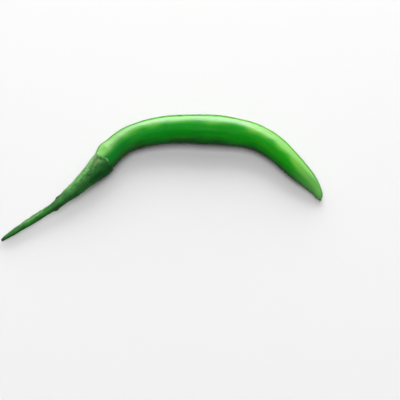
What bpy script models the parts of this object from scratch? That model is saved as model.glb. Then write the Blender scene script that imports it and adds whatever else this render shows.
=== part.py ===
"""A fresh green finger chilli lying on its side: the pod, the calyx that caps it and the stem.

Metres, +Z up. The stem points to -X and the pod's tip to +X. The origin is on the surface that the
chilli lies on, under the middle of the whole.
"""
import math

import bmesh
import bpy
from mathutils import Matrix, Vector

MM = 0.001

# Every length below is in millimetres. A place along the chilli is measured on its centreline from
# the calyx's rim: positive towards the pod's tip, negative towards the stem's cut end.

# The centreline seen from above: place, and the heading there in degrees, turned left from +X.
HEADING = (
    (-62, 42), (-54, 36), (-46, 35), (-34, 37), (-27, 44), (-16, 47), (-8, 50), (0, 54), (6, 53),
    (14, 36), (22, 19), (34, 6), (50, -3), (64, -7), (74, -19), (84, -37), (94, -49), (106, -47),
    (114, -56), (121, -84),
)
# The centreline's height over the surface. The pod rests on its side from its neck to its tip.
HEIGHT = (
    (-62, 2.2), (-32, 4.4), (-10, 5.9), (0, 6.1), (16, 6.1), (27, 6.55), (57, 7.2), (74, 6.35),
    (94, 5.5), (105, 4.55), (112, 3.5), (120.5, 1.8),
)

# The pod: its radius from the calyx's rim to the start of the rounded tip.
POD_RADIUS = (
    (0, 5.3), (7, 5.4), (16, 5.85), (27, 6.5), (41, 6.85), (57, 7.2), (66, 6.85), (74, 6.3),
    (84, 5.9), (94, 5.5), (105, 4.5), (112, 3.3), (117, 2.1),
)
POD_TIP = 120.5              # place of the very tip
SHOULDER = 7.0               # depth of the pod's domed shoulder under the calyx
POD_STEP = 2.6               # spacing of the pod's rings
DOME_RINGS = 6               # rings over each rounded end
POD_SIDES = 30

# The calyx: a cup fused from five sepals, with a rib and a blunt tooth for each.
SEPALS = 5
CALYX_BASE = -12.0           # place of its flat base, where the stem starts
CALYX_RADIUS = ((-12, 4.05), (-8, 4.65), (-4, 5.35), (-1.5, 5.85), (0, 6.05), (3, 6.1))
RIB_FADE = 0.7               # share of the ribs' height that is gone at the rim
TOOTH = 1.7                  # how far a tooth reaches past the dips between the teeth
TOOTH_POWER = 3              # how late on the way to the rim the teeth part
RIM_THICKNESS = 0.45
CALYX_STEP = 1.4
CALYX_SIDES = 8 * SEPALS

# The stem: a ribbed stalk, thick at the calyx, with a swollen joint and a thinner end past it.
STEM_END = -61.0
STEM_RADIUS = (
    (-61, 0.6), (-59, 0.9), (-54, 1.2), (-44, 1.5), (-36, 1.65), (-33.5, 1.85), (-32, 2.3),
    (-30, 2.35), (-25, 2.8), (-16.5, 3.5), (-12, 4.05),
)
RIB_HEIGHT = 0.06            # rib height as a share of the radius
STEM_STEP = 1.6
STEM_SIDES = 4 * SEPALS

GAP = 0.3                    # clearance that neighbouring pieces keep
TURN_STEP = 0.5              # step of the walk along the centreline
FULL_TURN = 2 * math.pi
SHARP_ANGLE = math.radians(50)

# Each piece's colour and roughness.
POD_FINISH = ((0.012, 0.19, 0.012, 1.0), 0.25)
CALYX_FINISH = ((0.035, 0.17, 0.03, 1.0), 0.5)
STEM_FINISH = ((0.045, 0.2, 0.035, 1.0), 0.55)


def smooth(table, place):
    """Read a (place, value) table along a smooth curve through its points."""
    if place <= table[0][0]:
        return table[0][1]
    if place >= table[-1][0]:
        return table[-1][1]
    index = next(i for i in range(len(table) - 1) if place <= table[i + 1][0])
    (start, low), (end, high) = table[index], table[index + 1]
    span = end - start
    slopes = []
    for i in (index, index + 1):
        before, after = table[max(i - 1, 0)], table[min(i + 1, len(table) - 1)]
        slopes.append((after[1] - before[1]) / (after[0] - before[0]) * span)
    t = (place - start) / span
    return ((2 * t**3 - 3 * t**2 + 1) * low + (t**3 - 2 * t**2 + t) * slopes[0]
            + (3 * t**2 - 2 * t**3) * high + (t**3 - t**2) * slopes[1])


def centre(place):
    """The centreline's point at a place, walked from the calyx's rim at x = y = 0."""
    steps = max(1, math.ceil(abs(place) / TURN_STEP))
    step = place / steps
    x = y = 0.0
    for i in range(steps):
        heading = math.radians(smooth(HEADING, (i + 0.5) * step))
        x += step * math.cos(heading)
        y += step * math.sin(heading)
    return Vector((x, y, smooth(HEIGHT, place)))


def frame_at(place):
    """Matrix whose Z runs along the centreline, X to its right and Y up, at a place."""
    origin = centre(place)
    along = (centre(place + TURN_STEP) - centre(place - TURN_STEP)).normalized()
    right = along.cross(Vector((0, 0, 1))).normalized()
    up = right.cross(along)
    return Matrix.Translation(origin) @ Matrix((right, up, along)).transposed().to_4x4()


def spaced(start, end, step):
    """Places from start to end, evenly spaced about a step apart, both ends included."""
    count = max(1, round(abs(end - start) / step))
    return [start + (end - start) * i / count for i in range(count + 1)]


def sweep(name, sides, rings, finish):
    """A closed solid: a disc extruded ring by ring.

    rings lists (place, outline) pairs. outline gives the radius and the shift along the centreline
    at an angle round it.
    """
    mesh = bmesh.new()
    around = mesh.verts.layers.int.new("around")
    disc = bmesh.ops.create_circle(mesh, cap_ends=True, segments=sides, radius=1.0)["verts"]
    for number, vert in enumerate(disc):
        vert[around] = number
    cap = mesh.faces[:][0]
    for number, (place, outline) in enumerate(rings):
        if number:
            region = [cap, *cap.edges, *cap.verts]
            grown = bmesh.ops.extrude_face_region(mesh, geom=region)["geom"]
            cap = next(item for item in grown if isinstance(item, bmesh.types.BMFace))
        frame = frame_at(place)
        for vert in cap.verts:
            angle = FULL_TURN * vert[around] / sides
            radius, shift = outline(angle)
            vert.co = frame @ Vector((radius * math.cos(angle), radius * math.sin(angle), shift))
    bmesh.ops.recalc_face_normals(mesh, faces=mesh.faces[:])
    bmesh.ops.scale(mesh, vec=(MM, MM, MM), verts=mesh.verts[:])
    data = bpy.data.meshes.new(name)
    mesh.to_mesh(data)
    mesh.free()
    data.shade_smooth()
    data.set_sharp_from_angle(angle=SHARP_ANGLE)
    data.materials.append(plain_material(name, *finish))
    piece = bpy.data.objects.new(name, data)
    bpy.context.scene.collection.objects.link(piece)
    return piece


def plain_material(name, colour, roughness):
    material = bpy.data.materials.new(name)
    material.use_nodes = True
    shader = material.node_tree.nodes["Principled BSDF"]
    shader.inputs["Base Color"].default_value = colour
    shader.inputs["Roughness"].default_value = roughness
    shader.inputs["Metallic"].default_value = 0.0
    return material


def round_outline(radius):
    return lambda angle: (radius, 0.0)


def pod_radius(place):
    """The pod's radius, with a domed shoulder below 0 and a rounded tip at the far end."""
    tip_start, tip_radius = POD_RADIUS[-1]
    if place < 0:
        return POD_RADIUS[0][1] * math.sqrt(max(0.0, 1 - (place / SHOULDER) ** 2))
    if place > tip_start:
        share = (place - tip_start) / (POD_TIP - tip_start)
        return tip_radius * math.sqrt(max(0.0, 1 - share**2))
    return smooth(POD_RADIUS, place)


def dome_angles():
    """Even steps over a quarter circle, leaving out the pole itself."""
    return [math.pi / 2 * i / (DOME_RINGS + 0.5) for i in range(1, DOME_RINGS + 1)]


def build_pod():
    tip_start = POD_RADIUS[-1][0]
    shoulder = [-SHOULDER * math.sin(angle) for angle in reversed(dome_angles())]
    tip = [tip_start + (POD_TIP - tip_start) * math.sin(angle) for angle in dome_angles()]
    places = shoulder + spaced(0, tip_start, POD_STEP) + tip
    rings = [(place, round_outline(pod_radius(place))) for place in places]
    return sweep("pod", POD_SIDES, rings, POD_FINISH)


def ribbed(angle):
    """1 on the ridge of each rib, -1 in the groove between two."""
    return math.cos(SEPALS * angle)


def tooth(angle):
    """How far the rim reaches past its dips."""
    return TOOTH / 2 * (1 + ribbed(angle))


def calyx_outer(place):
    """Outer wall: ribbed at the base and plainer towards the rim, where the teeth reach out."""
    share = (place - CALYX_BASE) / -CALYX_BASE
    radius = smooth(CALYX_RADIUS, place)
    rib = RIB_HEIGHT * (1 - RIB_FADE * share)
    reach = share**TOOTH_POWER
    return lambda angle: (radius * (1 + rib * ribbed(angle)), reach * tooth(angle))


def calyx_inner(place):
    """Inner wall: the pod's shoulder and a gap, following the teeth near the rim."""
    reach = (1 + place / SHOULDER) ** TOOTH_POWER
    radius = pod_radius(place) + GAP
    return lambda angle: (radius, reach * tooth(angle))


def calyx_rim(angle):
    """The rim's edge, half-way between the walls and a little past them."""
    radius = POD_RADIUS[0][1] + GAP + RIM_THICKNESS / 2
    return radius, tooth(angle) + RIM_THICKNESS / 2


def build_calyx():
    rings = [(place, calyx_outer(place)) for place in spaced(CALYX_BASE, 0, CALYX_STEP)]
    rings.append((0.0, calyx_rim))
    cup = [0.0] + [-SHOULDER * math.sin(angle) for angle in dome_angles()]
    rings += [(place, calyx_inner(place)) for place in cup]
    floor_radius = pod_radius(cup[-1])
    rings.append((-SHOULDER - GAP, round_outline(floor_radius)))
    return sweep("calyx", CALYX_SIDES, rings, CALYX_FINISH)


def stem_outline(place):
    radius = smooth(STEM_RADIUS, place)
    return lambda angle: (radius * (1 + RIB_HEIGHT * ribbed(angle)), 0.0)


def build_stem():
    places = spaced(STEM_END, CALYX_BASE - GAP, STEM_STEP)
    rings = [(place, stem_outline(place)) for place in places]
    return sweep("stem", STEM_SIDES, rings, STEM_FINISH)


def centre_on_origin(pieces):
    """Move the pieces together, so that their common box stands on z = 0, centred on the origin."""
    points = [vert.co for piece in pieces for vert in piece.data.vertices]
    low = Vector([min(point[axis] for point in points) for axis in range(3)])
    high = Vector([max(point[axis] for point in points) for axis in range(3)])
    shift = Matrix.Translation(-Vector(((low.x + high.x) / 2, (low.y + high.y) / 2, low.z)))
    for piece in pieces:
        piece.data.transform(shift)


def clear_scene():
    for item in list(bpy.data.objects):
        bpy.data.objects.remove(item, do_unlink=True)


def main():
    clear_scene()
    centre_on_origin([build_pod(), build_calyx(), build_stem()])


main()
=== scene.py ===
import math

import bmesh
import bpy
from bpy.props import FloatProperty, FloatVectorProperty, PointerProperty
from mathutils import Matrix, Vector


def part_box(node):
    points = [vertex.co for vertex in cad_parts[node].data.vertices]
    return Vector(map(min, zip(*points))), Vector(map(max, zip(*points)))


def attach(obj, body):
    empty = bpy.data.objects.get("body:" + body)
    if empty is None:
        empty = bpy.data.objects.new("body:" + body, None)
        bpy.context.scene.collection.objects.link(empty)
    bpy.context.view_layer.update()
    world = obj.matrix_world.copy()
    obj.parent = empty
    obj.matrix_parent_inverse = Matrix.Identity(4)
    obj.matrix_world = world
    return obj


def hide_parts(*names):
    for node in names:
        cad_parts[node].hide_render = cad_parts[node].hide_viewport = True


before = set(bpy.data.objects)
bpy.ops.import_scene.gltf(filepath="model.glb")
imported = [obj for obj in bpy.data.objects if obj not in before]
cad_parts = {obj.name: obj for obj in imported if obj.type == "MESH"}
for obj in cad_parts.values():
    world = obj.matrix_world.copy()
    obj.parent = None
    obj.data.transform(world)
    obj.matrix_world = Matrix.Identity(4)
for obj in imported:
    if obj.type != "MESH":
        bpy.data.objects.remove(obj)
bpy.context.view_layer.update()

bl_info = {
    "name": "Green Chilli",
    "version": (1, 0, 0),
    "blender": (4, 5, 0),
    "location": "View3D > Sidebar > Chilli",
    "description": "Models a fresh green finger chilli, with its calyx and stem, around its frame",
    "category": "Add Mesh",
}

MM = 0.001

# Places along the chilli are millimetres on its centreline, measured from the calyx's rim: positive
# towards the pod's tip, negative towards the stem's cut end. The tables pair a place with a value.

# The way the centreline heads, seen from above, in degrees turned left from +X.
HEADING = (
    (-62, 42), (-54, 36), (-46, 35), (-34, 37), (-27, 44), (-16, 47), (-8, 50), (0, 54), (6, 53),
    (14, 36), (22, 19), (34, 6), (50, -3), (64, -7), (74, -19), (84, -37), (94, -49), (106, -47),
    (114, -56), (121, -84),
)
# Its height over the surface that the chilli lies on.
HEIGHT = (
    (-62, 2.2), (-32, 4.4), (-10, 5.9), (0, 6.1), (16, 6.1), (27, 6.55), (57, 7.2), (74, 6.35),
    (94, 5.5), (105, 4.55), (112, 3.5), (120.5, 1.8),
)
POD_RADIUS = (
    (0, 5.3), (7, 5.4), (16, 5.85), (27, 6.5), (41, 6.85), (57, 7.2), (66, 6.85), (74, 6.3),
    (84, 5.9), (94, 5.5), (105, 4.5), (112, 3.3), (117, 2.1),
)
CALYX_RADIUS = (
    (-15.5, 3.2), (-14, 3.6), (-12, 4.05), (-8, 4.65), (-4, 5.35), (-1.5, 5.8), (0, 5.95),
)
STEM_RADIUS = (
    (-61, 0.45), (-60, 0.8), (-58.5, 1.02), (-56, 1.15), (-52, 1.3), (-44, 1.5), (-36, 1.65),
    (-33, 1.85), (-31, 2.05), (-28.5, 2.3), (-25, 2.75), (-16.5, 3.55), (-12, 3.95), (-9, 4.0),
)

POD_TIP = 120.5
NECK = 12.0                  # where the pod's neck ends and its belly starts
SHOULDER = 6.5               # depth of the pod's shoulder, inside the calyx
END_ANGLES = (18, 36, 54, 72, 84)               # rings over the pod's two rounded ends, in degrees
STYLE_NUB = ((120.55, 0.62), (120.95, 0.5), (121.2, 0.3))
STEM_END = -61.0
STEM_INNER_END = -9.0        # where the stem ends, inside the calyx
CALYX_BASE = -15.5           # the calyx's narrow end, inside the stem
CALYX_RIM = -1.5             # where the calyx's rim is between its teeth
CENTRELINE = (STEM_END - 2, POD_TIP + 2)        # where the bending curve starts and ends

# Spacing of the rings, and of the points along the centreline.
NECK_STEP = 1.7
POD_STEP = 3.2
CALYX_STEP = 1.0
STEM_STEP = 1.3
WALK_STEP = 0.5

SLACK = 0.01                 # how far off a place a vertex may be and still count as there
RADIAN = 4.0                 # millimetres that a radian off counts for in the search for a vertex

# Angles round the axis are degrees: 0 on the side away from the camera, 90 on top, 180 on the near
# side and 270 on the surface below.
POD_SIDES = 24
CALYX_SIDES = 30
STEM_SIDES = 30

SIDE_WIDTH = 8               # half of one of the pod's sides, in degrees, and a little more
FURROW_REACH = 5.0           # how far a furrow of the pod fades out

# Soft lengthwise furrows and ridges of the pod: angle, first and last place, factor on the radius.
POD_FURROWS = (
    (330, (6, 106), 0.965), (225, (14, 92), 0.965), (75, (58, 112), 0.99),
    (120, (70, 114), 1.02), (285, (30, 100), 0.985), (15, (30, 60), 1.02),
    (30, (4, 20), 1.07), (30, (72, 104), 1.04),
)
# Shallow dents and bumps of the pod's wall: place, angle, depth inwards, reach.
POD_DENTS = (
    (4, 26, -1.1, 5.5), (19, 105, 0.3, 5), (38, 150, 0.3, 6), (52, 62, 0.25, 7),
    (66, 118, 0.3, 6), (83, 80, 0.15, 6), (93, 128, 0.2, 5), (104, 95, 0.12, 4),
    (33, 235, 0.5, 7), (58, 200, 0.35, 6), (76, 330, 0.5, 8), (48, 15, 0.4, 7),
    (98, 20, 0.35, 6), (27, 300, 0.4, 7), (88, 250, 0.4, 7), (44, 100, -0.2, 7),
    (74, 165, -0.25, 6), (110, 140, 0.25, 4),
)
# Small puckers where the pod's neck leaves the calyx: their places, angles and depth.
PUCKER_STRETCH = (-1, 3)
PUCKERS = (10, 55, 85, 130, 175, 220, 265, 320)
PUCKER = 0.97                # factor on the radius

SEPALS = 5
FIRST_RIB = 48               # angle of the first rib
# A rib's profile: offset from its ridge in degrees, and the share of the rib's height there.
RIB_PROFILE = ((-24, -0.5), (-12, 0.25), (0, 1.0), (12, 0.25), (24, -0.5), (36, -0.9))
RIB_SHARES = (1.0, 0.75, 1.15, 0.85, 1.1)       # each rib's own share of the height
CALYX_ROUNDING = 0.08                           # share of the ribs that each ring loses
TEETH = (1.5, 1.2, 1.4, 1.1, 1.3)               # how far each sepal's tooth reaches
TOOTH_REACH = 2.7                               # how far round its point a tooth is drawn out
NOTCH_REACH = 2.5                               # the same for the dip between two teeth
PINCH = 0.15                                    # how far the rim is pressed onto the pod
CALYX_DENTS = (
    (-4, 100, 0.35, 3), (-8, 160, 0.3, 3), (-6, 300, 0.4, 3), (-3, 200, -0.25, 3),
    (-2.2, 30, 0.3, 2.5),
)

STEM_RIBS = 1.2              # height of the stem's ribs next to the calyx's
STEM_ROUNDING = 0.02
# How much wider than round the stem is, and so lower: place and factor.
STEM_FLATNESS = ((-60, 1.0), (-54, 1.14), (-44, 1.16), (-38, 1.05), (-33, 1.0))
STEM_HOLLOW = ((-60.9, 0.3), (-60.2, 0.22))     # the pith's hollow in the cut end: place, radius
# The pale ridge along the outer half and the grooves beside it: places, angle, width, factor.
STEM_RIDGES = (
    ((-51.5, -36), 49.5, 14.5, 1.1), ((-49, -38.5), 49.5, 14.5, 1.12),
    ((-53, -38), 84, 7, 0.92), ((-55, -41), 132, 7, 0.92),
)
# The ridge's end, the flap and the nub of the swollen joint, and the torn end: place, angle,
# (along, outwards), reach.
STEM_BUMPS = (
    (-36.6, 62, (0, 0.45), 1.5), (-28.6, 40, (-1.0, 0.75), 1.9), (-24.5, 40, (0, 0.3), 2.4),
    (-32.2, 200, (-0.5, 0.75), 1.5), (-25.5, 195, (0, -0.4), 4), (-59.5, 90, (0, -0.2), 1.4),
    (STEM_END, 200, (-0.5, 0.1), 0.8),
)

# Size and depth of the lumps that each skin is roughened by.
CALYX_LUMPS = ((3.0, 0.35), (1.1, 0.12))
STEM_LUMPS = ((3.5, 0.3), (1.1, 0.1))


# ---------------------------------------------------------------- reading the driving values

def smooth(table, place):
    """Read a (place, value) table along a smooth curve through its points."""
    if place <= table[0][0]:
        return table[0][1]
    if place >= table[-1][0]:
        return table[-1][1]
    index = next(i for i in range(len(table) - 1) if place <= table[i + 1][0])
    (start, low), (end, high) = table[index], table[index + 1]
    span = end - start
    slopes = []
    for i in (index, index + 1):
        before, after = table[max(i - 1, 0)], table[min(i + 1, len(table) - 1)]
        slopes.append((after[1] - before[1]) / (after[0] - before[0]) * span)
    t = (place - start) / span
    return ((2 * t**3 - 3 * t**2 + 1) * low + (t**3 - 2 * t**2 + t) * slopes[0]
            + (3 * t**2 - 2 * t**3) * high + (t**3 - t**2) * slopes[1])


def spaced(start, end, step):
    """Places from start to end, evenly spaced about a step apart, both ends included."""
    count = max(1, round(abs(end - start) / step))
    return [start + (end - start) * i / count for i in range(count + 1)]


def centreline():
    """Points in metres from before the stem's end to past the pod's tip, laid over the frame."""
    points = {0.0: Vector((0, 0, 0))}
    for end in CENTRELINE:
        at = Vector((0, 0, 0))
        places = spaced(0, end, WALK_STEP)
        for before, after in zip(places, places[1:]):
            heading = math.radians(smooth(HEADING, (before + after) / 2))
            at = at + (after - before) * Vector((math.cos(heading), math.sin(heading), 0))
            points[after] = at
    shift = frame_shift(points)
    line = []
    for place in sorted(points):
        point = points[place] * MM + shift
        point.z = smooth(HEIGHT, place) * MM
        line.append(point)
    return line


def frame_shift(points):
    """The move in metres that brings the pod, along points in millimetres, over its CAD box."""
    low, high = Vector((1e9, 1e9)), Vector((-1e9, -1e9))
    for place, point in points.items():
        if not 0 <= place <= POD_TIP:
            continue
        heading = math.radians(smooth(HEADING, place))
        radius = smooth(POD_RADIUS, place) if place <= POD_RADIUS[-1][0] else 0
        reach = radius * Vector((abs(math.sin(heading)), abs(math.cos(heading))))
        for axis in range(2):
            low[axis] = min(low[axis], point[axis] - reach[axis])
            high[axis] = max(high[axis], point[axis] + reach[axis])
    box_low, box_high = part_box("pod")
    shift = (box_low + box_high) / 2 - Vector((*(low + high), 0)) / 2 * MM
    return Vector((shift.x, shift.y, 0))


# ---------------------------------------------------------------- modelling helpers

def deselect_everything():
    if bpy.context.mode != "OBJECT":
        bpy.ops.object.mode_set(mode="OBJECT")
    bpy.ops.object.select_all(action="DESELECT")


def select_vertices(piece, places, angles=(0, 360)):
    """Select, in edit mode, the vertices between two places and between two angles."""
    bpy.ops.mesh.select_mode(type="VERT")
    bpy.ops.mesh.select_all(action="DESELECT")
    mesh = bmesh.from_edit_mesh(piece.data)
    found = False
    for vert in mesh.verts:
        angle = math.degrees(math.atan2(vert.co.z, vert.co.y))
        turned = (angle - angles[0]) % 360
        inside = places[0] - SLACK <= vert.co.x / MM <= places[1] + SLACK
        vert.select = inside and turned <= angles[1] - angles[0]
        found = found or vert.select
    mesh.select_flush_mode()
    bmesh.update_edit_mesh(piece.data)
    if not found:
        raise RuntimeError(f"{piece.name} has nothing at places {places} and angles {angles}")


def start_tube(name, sides, place, radius):
    """Add a circle across X, open it in edit mode with all of it selected, and return the piece."""
    deselect_everything()
    bpy.ops.mesh.primitive_circle_add(
        vertices=sides, radius=radius * MM, fill_type="NOTHING",
        location=(place * MM, 0, 0), rotation=(0, math.pi / 2, 0))
    piece = bpy.context.object
    piece.name = name
    piece.data.name = name
    bpy.ops.object.transform_apply(location=True, rotation=True, scale=True)
    bpy.ops.object.mode_set(mode="EDIT")
    bpy.ops.mesh.select_all(action="SELECT")
    return piece


def grow(rings, rounding=0.0, flatness=()):
    """Extrude the selected ring along X through (place, radius) pairs, the first where it stands.

    rounding is the share of its ribs that each new ring loses. flatness is a (place, factor) table
    of how much wider than round, and so lower, the ring is.
    """
    flat_before = smooth(flatness, rings[0][0]) if flatness else 1.0
    for (place, radius), (next_place, next_radius) in zip(rings, rings[1:]):
        bpy.ops.mesh.extrude_region_move(
            TRANSFORM_OT_translate={"value": ((next_place - place) * MM, 0, 0)})
        factor = next_radius / radius
        flat = smooth(flatness, next_place) if flatness else 1.0
        wider = flat / flat_before
        flat_before = flat
        bpy.ops.transform.resize(
            value=(1, factor * wider, factor / wider), center_override=(next_place * MM, 0, 0))
        if rounding:
            bpy.ops.transform.tosphere(value=rounding)


def shape_ribs(piece, place, height):
    """Turn a round ring into five unequal ribs with grooves between them."""
    for number, share in enumerate(RIB_SHARES):
        ridge = FIRST_RIB + number * 360 / SEPALS
        for offset, rise in RIB_PROFILE:
            swell(piece, (place, place), ridge + offset, 1 + height * share * rise)
    select_vertices(piece, (place, place))


def swell(piece, places, angle, factor, reach=0.0, width=2.0):
    """Scale a lengthwise stretch of the wall about the axis, fading out over a reach."""
    select_vertices(piece, places, (angle - width, angle + width))
    settings = {}
    if reach:
        settings = {"use_proportional_edit": True, "proportional_edit_falloff": "SMOOTH",
                    "proportional_size": reach * MM}
    bpy.ops.transform.resize(value=(1, factor, factor), center_override=(0, 0, 0), **settings)


def push(piece, place, angle, move, reach):
    """Move the wall at a place and an angle by (along, outwards), fading out over a reach."""
    mesh = bmesh.from_edit_mesh(piece.data)
    turned = Vector((0, math.cos(math.radians(angle)), math.sin(math.radians(angle))))

    def miss(vert):
        across = Vector((0, vert.co.y, vert.co.z))
        return abs(vert.co.x / MM - place) + RADIAN * across.normalized().angle(turned, math.pi)

    bpy.ops.mesh.select_all(action="DESELECT")
    nearest = min(mesh.verts, key=miss)
    nearest.select = True
    bmesh.update_edit_mesh(piece.data)
    value = Vector((move[0], 0, 0)) + move[1] * turned
    bpy.ops.transform.translate(
        value=value * MM, use_proportional_edit=True, proportional_edit_falloff="SMOOTH",
        proportional_size=reach * MM)


def close_end(piece, place):
    """Fill the open ring at a place with a grid of faces, a quarter of the ring wide."""
    select_vertices(piece, (place, place))
    sides = sum(vert.select for vert in bmesh.from_edit_mesh(piece.data).verts)
    bpy.ops.mesh.fill_grid(span=sides // 4)


def face_outwards():
    bpy.ops.mesh.select_all(action="SELECT")
    bpy.ops.mesh.normals_make_consistent(inside=False)
    bpy.ops.object.mode_set(mode="OBJECT")


def keep_unbent_places(piece):
    """Store where each point is before the bend, for patterns that follow the chilli's length."""
    attribute = piece.data.attributes.new("unbent", "FLOAT_VECTOR", "POINT")
    places = [number for vert in piece.data.vertices for number in vert.co]
    attribute.data.foreach_set("vector", places)


def apply_modifier(piece, kind, name, **settings):
    modifier = piece.modifiers.new(name, kind)
    for setting, value in settings.items():
        setattr(modifier, setting, value)
    bpy.context.view_layer.objects.active = piece
    bpy.ops.object.modifier_apply(modifier=modifier.name)


def bend(piece):
    """Bend a piece that was modelled straight along X onto the chilli's centreline."""
    line = centreline()
    curve = bpy.data.curves.new("centreline", "CURVE")
    curve.dimensions = "3D"
    curve.twist_mode = "Z_UP"
    spline = curve.splines.new("POLY")
    spline.points.add(len(line) - 1)
    for point, co in zip(spline.points, line):
        point.co = (*co, 1)
    guide = bpy.data.objects.new("centreline", curve)
    bpy.context.scene.collection.objects.link(guide)
    # The curve's start is the bent piece's x = 0.
    piece.location.x = -CENTRELINE[0] * MM
    bpy.ops.object.transform_apply(location=True, rotation=True, scale=True)
    apply_modifier(piece, "CURVE", "bend", object=guide, deform_axis="POS_X")
    bpy.data.objects.remove(guide)
    bpy.data.curves.remove(curve)


def subdivide(piece, levels):
    apply_modifier(piece, "SUBSURF", "subdivide", levels=levels, render_levels=levels)


def roughen(piece, size, depth):
    """Push the surface in and out by soft lumps of a size, each way by half the depth."""
    texture = bpy.data.textures.new("lumps", "CLOUDS")
    texture.noise_scale = size
    texture.noise_depth = 1
    apply_modifier(
        piece, "DISPLACE", "lumps", texture=texture, texture_coords="LOCAL", strength=depth,
        mid_level=0.5)
    bpy.data.textures.remove(texture)


def finish_piece(piece, node, material):
    """Give the piece its skin, and let it stand for a node of the frame."""
    bpy.ops.object.shade_smooth()
    piece.data.materials.clear()
    piece.data.materials.append(material)
    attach(piece, "root")
    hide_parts(node)


# ---------------------------------------------------------------- node helpers

def add(tree, kind, inputs=None, **settings):
    """Add a node, with its settings and its inputs: a socket is linked, a value is set."""
    node = tree.nodes.new("ShaderNode" + kind)
    for setting, value in settings.items():
        setattr(node, setting, value)
    for name, value in (inputs or {}).items():
        connect(tree, value, node.inputs[name])
    return node


def connect(tree, value, socket):
    if isinstance(value, bpy.types.NodeSocket):
        tree.links.new(value, socket)
    else:
        socket.default_value = value


def maths(tree, operation, first, second=0.0, clamp=False):
    return add(tree, "Math", {0: first, 1: second}, operation=operation, use_clamp=clamp).outputs[0]


def vector_maths(tree, operation, first, second):
    return add(tree, "VectorMath", {0: first, 1: second}, operation=operation).outputs[0]


def fade(tree, value, start, end, low=0.0, high=1.0):
    """A soft step of a value: low at start, high at end."""
    inputs = {"Value": value, "From Min": start, "From Max": end, "To Min": low, "To Max": high}
    return add(tree, "MapRange", inputs, interpolation_type="SMOOTHSTEP").outputs[0]


def blend(tree, share, first, second):
    """Mix two colours."""
    first, second = ((*c, 1) if isinstance(c, tuple) else c for c in (first, second))
    return add(tree, "Mix", {0: share, 6: first, 7: second}, data_type="RGBA").outputs[2]


def new_group(name, inputs, outputs):
    """A shader node group with named sockets, each given as (name, kind, default)."""
    group = bpy.data.node_groups.new(name, "ShaderNodeTree")
    for title, kind, default in inputs:
        socket = group.interface.new_socket(title, in_out="INPUT", socket_type="NodeSocket" + kind)
        if kind != "Vector":
            socket.default_value = default
    for title, kind in outputs:
        group.interface.new_socket(title, in_out="OUTPUT", socket_type="NodeSocket" + kind)
    start = group.nodes.new("NodeGroupInput").outputs
    end = group.nodes.new("NodeGroupOutput").inputs
    return group, start, end


def pattern_scale(group, size):
    """The scale of a pattern whose parts are about a size in millimetres."""
    return maths(group, "DIVIDE", 1 / MM, size)


def streaks_group():
    """Fibres along the chilli's length."""
    group, given, out = new_group(
        "lengthwise_streaks",
        (("Place", "Vector", None), ("Width", "Float", 1.0), ("Stretch", "Float", 10.0),
         ("Low", "Float", 0.4), ("High", "Float", 0.65)),
        (("Streaks", "Float"),))
    narrow = pattern_scale(group, given["Width"])
    along = maths(group, "DIVIDE", narrow, given["Stretch"])
    scale = add(group, "CombineXYZ", {"X": along, "Y": narrow, "Z": narrow}).outputs[0]
    stretched = vector_maths(group, "MULTIPLY", given["Place"], scale)
    noise = add(group, "TexNoise", {"Vector": stretched, "Scale": 1.0, "Detail": 3.0})
    connect(group, fade(group, noise.outputs["Fac"], given["Low"], given["High"]), out["Streaks"])
    return group


def mottle_group():
    """Soft cloudy patches."""
    group, given, out = new_group(
        "mottle",
        (("Place", "Vector", None), ("Size", "Float", 5.0), ("Detail", "Float", 2.0),
         ("Low", "Float", 0.35), ("High", "Float", 0.65)),
        (("Mottle", "Float"),))
    scale = pattern_scale(group, given["Size"])
    inputs = {"Vector": given["Place"], "Scale": scale, "Detail": given["Detail"]}
    noise = add(group, "TexNoise", inputs)
    connect(group, fade(group, noise.outputs["Fac"], given["Low"], given["High"]), out["Mottle"])
    return group


def specks_group():
    """Small round specks, in a share of the cells they are scattered over."""
    group, given, out = new_group(
        "specks",
        (("Place", "Vector", None), ("Spacing", "Float", 2.0), ("Radius", "Float", 0.2),
         ("Share", "Float", 0.5)),
        (("Specks", "Float"),))
    scale = pattern_scale(group, given["Spacing"])
    cells = add(group, "TexVoronoi", {"Vector": given["Place"], "Scale": scale})
    soft = maths(group, "MULTIPLY", given["Radius"], 0.4)
    spot = fade(group, cells.outputs["Distance"], given["Radius"], soft)
    draw = add(group, "SeparateColor", {"Color": cells.outputs["Color"]}).outputs["Red"]
    kept = maths(group, "LESS_THAN", draw, given["Share"])
    connect(group, maths(group, "MULTIPLY", spot, kept), out["Specks"])
    return group


def patch_group():
    """One ragged patch: 1 in the middle of an ellipsoid round a centre and 0 outside it."""
    group, given, out = new_group(
        "patch",
        (("Place", "Vector", None), ("Centre", "Vector", None), ("Size", "Vector", None),
         ("Grain", "Float", 1.0), ("Raggedness", "Float", 0.5)),
        (("Patch", "Float"),))
    offset = vector_maths(group, "SUBTRACT", given["Place"], given["Centre"])
    scaled = vector_maths(group, "DIVIDE", offset, given["Size"])
    distance = add(group, "VectorMath", {0: scaled}, operation="LENGTH").outputs["Value"]
    scale = pattern_scale(group, given["Grain"])
    noise = add(group, "TexNoise", {"Vector": given["Place"], "Scale": scale, "Detail": 3.0})
    ragged = maths(group, "MULTIPLY", maths(group, "SUBTRACT", noise.outputs["Fac"], 0.5),
                   given["Raggedness"])
    edge = maths(group, "ADD", distance, maths(group, "MULTIPLY", ragged, 2.0))
    connect(group, fade(group, edge, 1.0, 0.55), out["Patch"])
    return group


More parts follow.
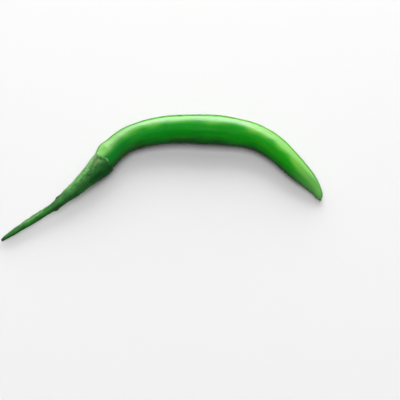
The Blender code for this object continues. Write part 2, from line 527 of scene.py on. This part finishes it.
def ribs_group():
    """Where a point is on the five ribs: 1 on a ridge, 0 in a groove."""
    group, given, out = new_group("rib_lines", (("Place", "Vector", None),), (("Ridge", "Float"),))
    parts = add(group, "SeparateXYZ", {"Vector": given["Place"]}).outputs
    angle = maths(group, "ARCTAN2", parts["Z"], parts["Y"])
    turned = maths(group, "SUBTRACT", angle, math.radians(FIRST_RIB))
    wave = maths(group, "COSINE", maths(group, "MULTIPLY", turned, float(SEPALS)))
    half = maths(group, "MULTIPLY", wave, 0.5)
    connect(group, maths(group, "ADD", half, 0.5), out["Ridge"])
    return group


def side_group():
    """How much a point faces an angle, with a wavering edge: about 0 to 1."""
    group, given, out = new_group(
        "side", (("Place", "Vector", None), ("Facing", "Float", 180.0), ("Grain", "Float", 10.0)),
        (("Side", "Float"),))
    parts = add(group, "SeparateXYZ", {"Vector": given["Place"]}).outputs
    angle = maths(group, "ARCTAN2", parts["Z"], parts["Y"])
    facing = maths(group, "RADIANS", given["Facing"])
    near = maths(group, "COSINE", maths(group, "SUBTRACT", angle, facing))
    scale = pattern_scale(group, given["Grain"])
    noise = add(group, "TexNoise", {"Vector": given["Place"], "Scale": scale, "Detail": 1.0})
    waver = maths(group, "MULTIPLY", noise.outputs["Fac"], 0.5)
    half = maths(group, "MULTIPLY", near, 0.5)
    connect(group, maths(group, "ADD", half, maths(group, "ADD", waver, 0.25)), out["Side"])
    return group


EFFECTS = {
    "lengthwise_streaks": streaks_group, "mottle": mottle_group, "specks": specks_group,
    "patch": patch_group, "rib_lines": ribs_group, "side": side_group,
}


def effect(tree, name, place, **inputs):
    """Place a shared effect in a material with its own values, and return its output."""
    node = tree.nodes.new("ShaderNodeGroup")
    node.node_tree = bpy.data.node_groups.get(name) or EFFECTS[name]()
    connect(tree, place, node.inputs["Place"])
    for title, value in inputs.items():
        connect(tree, value, node.inputs[title])
    return node.outputs[0]


def spot(place, angle, radius):
    """The unbent point at a place, an angle and a distance from the axis."""
    turned = math.radians(angle)
    return Vector((place, radius * math.cos(turned), radius * math.sin(turned))) * MM


def patch(tree, place, at, size, grain=1.5, raggedness=0.6):
    """A ragged patch round (place, angle, radius); size is its half extents in millimetres."""
    return effect(tree, "patch", place, Centre=spot(*at), Size=Vector(size) * MM, Grain=grain,
                  Raggedness=raggedness)


def new_material(name):
    """A material, its tree, its shader, the shaded point's unbent place and its place along."""
    material = bpy.data.materials.new(name)
    material.use_nodes = True
    tree = material.node_tree
    place = add(tree, "Attribute", attribute_name="unbent").outputs["Vector"]
    metres = add(tree, "SeparateXYZ", {"Vector": place}).outputs["X"]
    along = maths(tree, "DIVIDE", metres, MM)
    return material, tree, tree.nodes["Principled BSDF"], place, along


def paint(tree, colour, layers):
    """Lay colours over a colour in turn: (mask, share, colour), the share being the mask's most."""
    for mask, share, top in layers:
        if share < 1:
            mask = maths(tree, "MULTIPLY", mask, share)
        colour = blend(tree, mask, colour, tuple(top))
    return colour


def highest(tree, first, *others):
    """The highest of some masks."""
    for other in others:
        first = maths(tree, "MAXIMUM", first, other)
    return first


def roughness(tree, shader, smoothest, uneven, rise):
    """Feed the shader a roughness that rises from its smoothest where a mask says so."""
    dull = maths(tree, "MULTIPLY", uneven, rise)
    connect(tree, maths(tree, "ADD", dull, smoothest), shader.inputs["Roughness"])


def bump(tree, shader, heights, depth):
    """Feed the shader a bump of summed (height, share) pairs; depth is in millimetres."""
    total = 0.0
    for height, share in heights:
        total = maths(tree, "ADD", maths(tree, "MULTIPLY", height, share), total)
    relief = add(tree, "Bump", {"Height": total, "Strength": 1.0, "Distance": depth * MM})
    tree.links.new(relief.outputs["Normal"], shader.inputs["Normal"])


# ---------------------------------------------------------------- skins

def pod_skin(colours):
    """Thick glossy deep green skin, yellower to the tip, with painted light above and painted shade
    below.
    """
    material, tree, shader, place, along = new_material("pod_skin")
    clouds = effect(tree, "mottle", place, Size=13.0, Low=0.38, High=0.64)
    fibres = effect(tree, "lengthwise_streaks", place, Width=1.6, Stretch=16.0, Low=0.42, High=0.7)
    pores = effect(tree, "mottle", place, Size=0.45, Detail=1.0, Low=0.3, High=0.7)
    flecks = effect(tree, "specks", place, Spacing=1.7, Radius=0.13, Share=0.3)
    dots = effect(tree, "specks", place, Spacing=4.5, Radius=0.075, Share=0.35)
    scars = highest(tree, patch(tree, place, (58, 222, 7.0), (0.7, 1.3, 1.3), 0.8, 0.7),
                    patch(tree, place, (84, 345, 5.8), (2.4, 0.4, 0.4), 1.0, 0.5))
    style = fade(tree, along, 120.3, 120.9)
    far_half = fade(tree, along, 35, 80)
    neck = fade(tree, along, 30, 4)
    # The very tip is painted paler: partly its own colour, partly a painted highlight.
    tip = fade(tree, along, 98, 117)

    # Painted light on the upper far side: most past the middle and at the neck, further round the
    # tip.
    painted_light = effect(tree, "side", place, Facing=40.0, Grain=9.0)
    painted_light = fade(tree, maths(tree, "ADD", painted_light, fade(tree, along, 88, 105, 0.0, 0.17)), 0.66, 0.92)
    painted_light_share = highest(tree, fade(tree, along, 52, 85, 0.45, 0.85),
                       fade(tree, along, 22, 4, 0.45, 0.7))
    painted_light_mask = maths(tree, "MULTIPLY", painted_light, painted_light_share)
    # Painted shade: the lower near side is painted a darker green.
    shaded = effect(tree, "side", place, Facing=235.0, Grain=14.0)
    shaded = fade(tree, shaded, 0.45, 0.95, 0.0, 0.85)

    colour = paint(tree, tuple(colours.pod_deep), (
        (clouds, 1, colours.pod_green), (far_half, 1, colours.pod_young),
        (neck, 1, colours.pod_neck), (painted_light_mask, 1, colours.pod_painted_light_and_fibres),
        (shaded, 1, colours.pod_painted_shade_and_dots), (tip, 0.8, colours.pod_tip_pale_and_highlight),
        (fibres, 0.12, colours.pod_painted_light_and_fibres), (flecks, 0.3, colours.pale_speck),
        (dots, 0.5, colours.pod_painted_shade_and_dots), (scars, 0.5, colours.pale_speck),
        (style, 0.8, colours.dry_brown)))
    connect(tree, colour, shader.inputs["Base Color"])

    bare = highest(tree, scars, style)
    uneven = effect(tree, "mottle", place, Size=6.0, Detail=3.0, Low=0.3, High=0.7)
    uneven = maths(tree, "ADD", uneven, maths(tree, "MULTIPLY", bare, 3.5))
    roughness(tree, shader, 0.24, uneven, 0.1)
    connect(tree, maths(tree, "SUBTRACT", 0.7, bare, True), shader.inputs["Coat Weight"])
    shader.inputs["Coat Roughness"].default_value = 0.25
    shader.inputs["Specular IOR Level"].default_value = 0.05
    bump(tree, shader, ((fibres, 0.5), (pores, 0.3), (flecks, 0.5), (scars, 0.8)), 0.035)
    return material


def calyx_skin(colours):
    """Matt leafy skin: ribs lighter than the grooves, a pale rim, painted light and a few dried
    patches.
    """
    material, tree, shader, place, along = new_material("calyx_skin")
    clouds = effect(tree, "mottle", place, Size=3.5, Low=0.35, High=0.65)
    fibres = effect(tree, "lengthwise_streaks", place, Width=0.55, Stretch=8.0, Low=0.4, High=0.68)
    grain = effect(tree, "mottle", place, Size=0.35, Detail=2.0, Low=0.3, High=0.7)
    ridge = effect(tree, "rib_lines", place)
    flecks = effect(tree, "specks", place, Spacing=1.5, Radius=0.14, Share=0.35)
    bruise = patch(tree, place, (-5.0, 84, 5.2), (3.4, 1.2, 1.2), 1.3, 1.2)
    scar = patch(tree, place, (-9.0, 205, 4.6), (2.2, 1.0, 1.0), 1.2, 0.8)
    behind = patch(tree, place, (-5.5, 290, 5.0), (3.0, 2.2, 2.2), 1.6, 0.8)
    dried = highest(tree, bruise, scar, behind)
    ragged = maths(tree, "MULTIPLY", clouds, 0.6)
    # The rim is painted paler all round: partly its own colour, partly a painted highlight on its
    # edge.
    rim = fade(tree, maths(tree, "ADD", along, ragged), -1.6, -0.4)
    # Painted light: the calyx's upper far side is painted paler.
    painted_light = fade(tree, effect(tree, "side", place, Facing=35.0, Grain=2.0), 0.66, 1.05)
    painted_light = maths(tree, "MULTIPLY", painted_light, fade(tree, clouds, 0.0, 1.0, 0.55, 1.0))

    colour = paint(tree, tuple(colours.calyx_deep), (
        (clouds, 1, colours.calyx_green), (painted_light, 1, colours.calyx_pale_and_painted_light),
        (ridge, 0.12, colours.calyx_pale_and_painted_light), (fibres, 0.4, colours.calyx_deep),
        (rim, 0.75, colours.calyx_pale_and_painted_light), (flecks, 0.3, colours.dry_brown),
        (dried, 0.55, colours.cork)))
    connect(tree, colour, shader.inputs["Base Color"])
    roughness(tree, shader, 0.42, highest(tree, dried, grain), 0.2)
    shader.inputs["Specular IOR Level"].default_value = 0.15
    bump(tree, shader, ((fibres, 1.0), (grain, 0.35), (flecks, 0.4), (dried, 0.4)), 0.08)
    return material


def stem_skin(colours):
    """Matt fibrous skin with pale ridges, a corky joint and a dried end."""
    material, tree, shader, place, along = new_material("stem_skin")
    clouds = effect(tree, "mottle", place, Size=4.0, Low=0.35, High=0.65)
    fibres = effect(tree, "lengthwise_streaks", place, Width=0.4, Stretch=14.0, Low=0.4, High=0.66)
    grain = effect(tree, "mottle", place, Size=0.3, Detail=2.0, Low=0.3, High=0.7)
    ridge = effect(tree, "rib_lines", place)
    flecks = effect(tree, "specks", place, Spacing=1.6, Radius=0.13, Share=0.3)
    band = patch(tree, place, (-44.5, 70, 1.7), (10.5, 1.0, 1.0), 1.2, 0.5)
    edge = patch(tree, place, (-44.0, 45, 2.1), (8.5, 0.5, 0.5), 1.0, 0.6)
    joint = patch(tree, place, (-28.4, 44, 3.1), (2.8, 1.3, 1.3), 1.0, 0.4)
    nub = patch(tree, place, (-32.7, 196, 2.5), (1.8, 1.4, 1.4), 1.0, 0.4)
    far_scar = patch(tree, place, (-20.0, 320, 3.4), (2.4, 1.4, 1.4), 1.2, 0.7)
    corky = highest(tree, joint, nub, far_scar)
    ragged = maths(tree, "MULTIPLY", clouds, 1.2)
    end = fade(tree, maths(tree, "ADD", along, ragged), -57.5, -60.5)
    # Painted light: the stem's upper far side near the calyx is painted paler.
    painted_light = fade(tree, effect(tree, "side", place, Facing=40.0, Grain=2.0), 0.6, 1.0)
    painted_light = maths(tree, "MULTIPLY", painted_light, fade(tree, along, -34, -16, 0.0, 0.85))

    colour = paint(tree, tuple(colours.stem_deep), (
        (clouds, 1, colours.stem_green), (painted_light, 1, colours.stem_pale_and_painted_light),
        (ridge, 0.25, colours.stem_pale_and_painted_light), (fibres, 0.45, colours.stem_deep),
        (band, 0.8, colours.stem_pale_and_painted_light), (edge, 0.75, colours.dry_brown),
        (flecks, 0.45, colours.dry_brown), (corky, 0.85, colours.dry_brown),
        (end, 0.85, colours.dry_brown)))
    connect(tree, colour, shader.inputs["Base Color"])
    roughness(tree, shader, 0.45, highest(tree, corky, grain), 0.2)
    shader.inputs["Specular IOR Level"].default_value = 0.15
    bump(tree, shader, ((fibres, 1.0), (grain, 0.35), (flecks, 0.4), (corky, 0.5)), 0.08)
    return material


# ---------------------------------------------------------------- settings

def colour_setting(name, description, default):
    return FloatVectorProperty(
        name=name, description=description, subtype="COLOR", size=3, min=0, max=1, default=default)


class ChilliColours(bpy.types.PropertyGroup):
    """Colours of the chilli."""
    pod_green: colour_setting("Pod green", "Main colour of the pod", (0.0005, 0.175, 0.004))
    pod_deep: colour_setting("Pod deep green", "Darker patches of the pod", (0.0005, 0.145, 0.006))
    # Painted shade on the pod's lower near side; also the colour of the pod's small dots.
    pod_painted_shade_and_dots: colour_setting("Pod shade green", "Side that grew in shade", (0.001, 0.043, 0.004))
    pod_young: colour_setting(
        "Pod young green", "Purer green of the pod's far half", (0.001, 0.185, 0.0015))
    # Painted light on the pod's upper far side; also the colour of the pod's fibres.
    pod_painted_light_and_fibres: colour_setting("Pod sunny green", "Yellower skin in the sun", (0.09, 0.29, 0.022))
    pod_neck: colour_setting("Pod neck green", "Deep green of the neck", (0.003, 0.12, 0.011))
    # Partly the tip's own colour and partly a painted highlight.
    pod_tip_pale_and_highlight: colour_setting("Pod tip green", "Pale green of the very tip", (0.075, 0.25, 0.055))
    pale_speck: colour_setting("Pale speck", "Small flecks in the pod's skin", (0.12, 0.36, 0.08))
    calyx_green: colour_setting("Calyx green", "Main colour of the calyx", (0.004, 0.072, 0.009))
    calyx_deep: colour_setting("Calyx deep green", "Grooves of the calyx", (0.003, 0.045, 0.008))
    # Also paints light on the upper far side and, partly, a highlight on the rim.
    calyx_pale_and_painted_light: colour_setting("Calyx pale green", "Sunny side and rim", (0.12, 0.3, 0.085))
    stem_green: colour_setting("Stem green", "Main colour of the stem", (0.012, 0.105, 0.014))
    stem_deep: colour_setting("Stem deep green", "Grooves of the stem", (0.006, 0.052, 0.009))
    # Also paints light on the stem's upper far side near the calyx.
    stem_pale_and_painted_light: colour_setting("Stem pale green", "Ridges and sunny side", (0.085, 0.25, 0.06))
    cork: colour_setting("Cork", "Dried bruises of the calyx", (0.09, 0.095, 0.03))
    dry_brown: colour_setting("Dry brown", "Dried edges, joint and ends", (0.035, 0.02, 0.012))


def length_setting(name, description, default):
    return FloatProperty(
        name=name, description=description, subtype="DISTANCE", unit="LENGTH", min=0,
        default=default)


class ChilliShape(bpy.types.PropertyGroup):
    """Sizes of the skin's relief."""
    lump_size: length_setting("Lump size", "Size of the broad lumps of the skin", 0.016)
    lump_depth: length_setting("Lump depth", "Height of the broad lumps from low to high", 0.0006)
    dimple_size: length_setting("Dimple size", "Size of the small dimples of the skin", 0.0045)
    dimple_depth: length_setting("Dimple depth", "Height of the dimples from low to high", 0.00012)
    calyx_wall: length_setting("Calyx wall", "Thickness of the calyx at its rim", 0.0006)
    rib_height: FloatProperty(
        name="Rib height", description="Height of the ribs as a share of the radius",
        subtype="FACTOR", min=0, max=0.3, default=0.07)


class ChilliStage(bpy.types.PropertyGroup):
    """The surface, the surround and the camera."""
    floor_colour: colour_setting("Floor colour", "Colour of the plain surface", (0.42, 0.42, 0.42))
    surround: FloatProperty(
        name="Surround", description="Brightness of the plain white surround", min=0, default=0.08)
    camera_aim: FloatVectorProperty(
        name="Camera aim", description="The point on the surface that the camera looks at",
        subtype="TRANSLATION", unit="LENGTH", size=3, default=(0.01591, -0.00922, 0))
    camera_elevation: FloatProperty(
        name="Camera elevation", description="How far the camera looks down",
        subtype="ANGLE", default=math.radians(58))
    camera_distance: length_setting("Camera distance", "From the camera to its aim", 0.62)
    view_width: length_setting("View width", "Width seen at the point the camera looks at", 0.1836)


# ---------------------------------------------------------------- operators

def pod_rings():
    """(place, radius) of the pod's rings: shoulder, neck, belly, rounded tip and its nub."""
    quarter = [math.radians(angle) for angle in END_ANGLES]
    neck_radius = POD_RADIUS[0][1]
    tip_start, tip_radius = POD_RADIUS[-1]
    rings = [(-SHOULDER * math.sin(a), neck_radius * math.cos(a)) for a in reversed(quarter)]
    places = spaced(0, NECK, NECK_STEP) + spaced(NECK, tip_start, POD_STEP)[1:]
    rings += [(place, smooth(POD_RADIUS, place)) for place in places]
    for a in quarter[:-1]:
        rings.append((tip_start + (POD_TIP - tip_start) * math.sin(a), tip_radius * math.cos(a)))
    return [*rings, *STYLE_NUB]


class CHILLI_OT_pod(bpy.types.Operator):
    """Model the pod: a tapering tube with a shoulder, a rounded tip, furrows, dents and puckers"""
    bl_idname = "chilli.pod"
    bl_label = "Pod"

    def execute(self, context):
        shape = context.scene.chilli_shape
        rings = pod_rings()
        piece = start_tube("pod_flesh", POD_SIDES, *rings[0])
        grow(rings)
        close_end(piece, rings[-1][0])
        close_end(piece, rings[0][0])
        for angle in PUCKERS:
            swell(piece, PUCKER_STRETCH, angle, PUCKER, width=SIDE_WIDTH)
        for angle, stretch, factor in POD_FURROWS:
            swell(piece, stretch, angle, factor, reach=FURROW_REACH, width=SIDE_WIDTH)
        for place, angle, depth, reach in POD_DENTS:
            push(piece, place, angle, (0, -depth), reach)
        face_outwards()
        keep_unbent_places(piece)
        bend(piece)
        subdivide(piece, 2)
        roughen(piece, shape.lump_size, shape.lump_depth)
        roughen(piece, shape.dimple_size, shape.dimple_depth)
        subdivide(piece, 1)
        finish_piece(piece, "pod", pod_skin(context.scene.chilli_colours))
        return {"FINISHED"}


class CHILLI_OT_calyx(bpy.types.Operator):
    """Model the calyx: a ribbed cup that ends in five blunt teeth"""
    bl_idname = "chilli.calyx"
    bl_label = "Calyx"

    def execute(self, context):
        shape = context.scene.chilli_shape
        places = spaced(CALYX_BASE, CALYX_RIM, CALYX_STEP)
        rings = [(place, smooth(CALYX_RADIUS, place)) for place in places]
        piece = start_tube("calyx_cup", CALYX_SIDES, *rings[0])
        shape_ribs(piece, CALYX_BASE, shape.rib_height)
        grow(rings, rounding=CALYX_ROUNDING)
        for number, tooth in enumerate(TEETH):
            ridge = FIRST_RIB + number * 360 / SEPALS
            dip = ridge + 180 / SEPALS
            push(piece, CALYX_RIM, ridge, (tooth, -PINCH), TOOTH_REACH)
            push(piece, places[-2], dip, (0, -PINCH), NOTCH_REACH)
        for place, angle, depth, reach in CALYX_DENTS:
            push(piece, place, angle, (0, -depth), reach)
        face_outwards()
        keep_unbent_places(piece)
        apply_modifier(piece, "SOLIDIFY", "wall", thickness=shape.calyx_wall, offset=-1)
        bend(piece)
        subdivide(piece, 2)
        for size, depth in CALYX_LUMPS:
            roughen(piece, size * MM, depth * MM)
        subdivide(piece, 1)
        finish_piece(piece, "calyx", calyx_skin(context.scene.chilli_colours))
        return {"FINISHED"}


class CHILLI_OT_stem(bpy.types.Operator):
    """Model the stem: a ribbed stalk with a swollen joint and a flattened, torn outer end"""
    bl_idname = "chilli.stem"
    bl_label = "Stem"

    def execute(self, context):
        shape = context.scene.chilli_shape
        places = spaced(STEM_INNER_END, STEM_END, STEM_STEP)
        rings = [(place, smooth(STEM_RADIUS, place)) for place in places]
        piece = start_tube("stem_stalk", STEM_SIDES, *rings[0])
        shape_ribs(piece, STEM_INNER_END, shape.rib_height * STEM_RIBS)
        grow(rings, rounding=STEM_ROUNDING, flatness=STEM_FLATNESS)
        grow([rings[-1], *STEM_HOLLOW])
        close_end(piece, STEM_HOLLOW[-1][0])
        close_end(piece, STEM_INNER_END)
        for stretch, angle, width, factor in STEM_RIDGES:
            swell(piece, stretch, angle, factor, width=width)
        for place, angle, move, reach in STEM_BUMPS:
            push(piece, place, angle, move, reach)
        face_outwards()
        keep_unbent_places(piece)
        bend(piece)
        subdivide(piece, 2)
        for size, depth in STEM_LUMPS:
            roughen(piece, size * MM, depth * MM)
        finish_piece(piece, "stem", stem_skin(context.scene.chilli_colours))
        return {"FINISHED"}


FLOOR_SIDE = 6.0             # metres
# The soft lights: azimuth from straight behind the chilli towards the right, elevation, distance,
# width, height, power, and whether the skin mirrors the light.
LIGHTS = {
    "back_light": (0, 26, 1.6, 1.05, 1.3, 38.0, True),
    "left_light": (-37, 20, 1.6, 1.15, 1.0, 14.0, True),
    "right_light": (37, 26, 1.6, 1.15, 1.3, 16.0, True),
    "upper_light": (0, 58, 1.6, 1.6, 0.6, 6.0, True),
    "top_light": (180, 74, 1.6, 1.3, 1.3, 32.0, False),
}


class CHILLI_OT_stage(bpy.types.Operator):
    """Lay the surface, set the lights and aim the camera"""
    bl_idname = "chilli.stage"
    bl_label = "Stage"

    def execute(self, context):
        settings = context.scene.chilli_stage
        deselect_everything()
        bpy.ops.mesh.primitive_plane_add(size=FLOOR_SIDE)
        floor = context.object
        floor.name = "floor"
        material = bpy.data.materials.new("floor")
        material.use_nodes = True
        shader = material.node_tree.nodes["Principled BSDF"]
        shader.inputs["Base Color"].default_value = (*settings.floor_colour, 1)
        shader.inputs["Roughness"].default_value = 0.9
        shader.inputs["Specular IOR Level"].default_value = 0.1
        floor.data.materials.append(material)
        # The skin mirrors the lights alone, so its lower side keeps its deep green and painted
        # shade.
        floor.visible_glossy = False
        world = bpy.data.worlds.new("studio")
        world.use_nodes = True
        surround = world.node_tree.nodes["Background"]
        surround.inputs["Color"].default_value = (1, 1, 1, 1)
        surround.inputs["Strength"].default_value = settings.surround
        context.scene.world = world
        for name, light in LIGHTS.items():
            add_softbox(name, *light)

        elevation = settings.camera_elevation
        data = bpy.data.cameras.new("camera")
        camera = bpy.data.objects.new("camera", data)
        context.scene.collection.objects.link(camera)
        back = Vector((0, -math.cos(elevation), math.sin(elevation)))
        camera.location = Vector(settings.camera_aim) + settings.camera_distance * back
        camera.rotation_euler = (math.pi / 2 - elevation, 0, 0)
        data.sensor_width = 36
        data.lens = data.sensor_width * settings.camera_distance / settings.view_width
        data.clip_end = 20
        context.scene.camera = camera
        context.scene.view_settings.view_transform = "Standard"
        return {"FINISHED"}


def add_softbox(name, azimuth, elevation, distance, width, height, power, mirrored):
    """A soft rectangular light that faces the middle of the chilli."""
    around, up = math.radians(azimuth), math.radians(elevation)
    data = bpy.data.lights.new(name, "AREA")
    data.shape = "RECTANGLE"
    data.size = width
    data.size_y = height
    data.energy = power
    light = bpy.data.objects.new(name, data)
    bpy.context.scene.collection.objects.link(light)
    way = Vector((math.cos(up) * math.sin(around), math.cos(up) * math.cos(around), math.sin(up)))
    light.location = distance * way
    light.visible_glossy = mirrored
    light.rotation_euler = (-way).to_track_quat("-Z", "Y").to_euler()


class CHILLI_PT_sidebar(bpy.types.Panel):
    """The chilli's pieces and settings"""
    bl_idname = "CHILLI_PT_sidebar"
    bl_label = "Green Chilli"
    bl_space_type = "VIEW_3D"
    bl_region_type = "UI"
    bl_category = "Chilli"

    def draw(self, context):
        column = self.layout.column()
        for operator in PIECES:
            column.operator(operator.bl_idname)
        for group in SETTINGS:
            settings = getattr(context.scene, group)
            for name in settings.__annotations__:
                column.prop(settings, name)


SETTINGS = {
    "chilli_shape": ChilliShape, "chilli_colours": ChilliColours, "chilli_stage": ChilliStage,
}
PIECES = (CHILLI_OT_pod, CHILLI_OT_calyx, CHILLI_OT_stem, CHILLI_OT_stage)


def register():
    for cls in (*SETTINGS.values(), *PIECES, CHILLI_PT_sidebar):
        bpy.utils.register_class(cls)
    for name, cls in SETTINGS.items():
        setattr(bpy.types.Scene, name, PointerProperty(type=cls))


def unregister():
    for name in SETTINGS:
        delattr(bpy.types.Scene, name)
    for cls in (CHILLI_PT_sidebar, *reversed(PIECES), *reversed(SETTINGS.values())):
        bpy.utils.unregister_class(cls)


def main():
    register()
    bpy.ops.chilli.pod()
    bpy.ops.chilli.calyx()
    bpy.ops.chilli.stem()
    bpy.ops.chilli.stage()


if __name__ == "__main__":
    main()
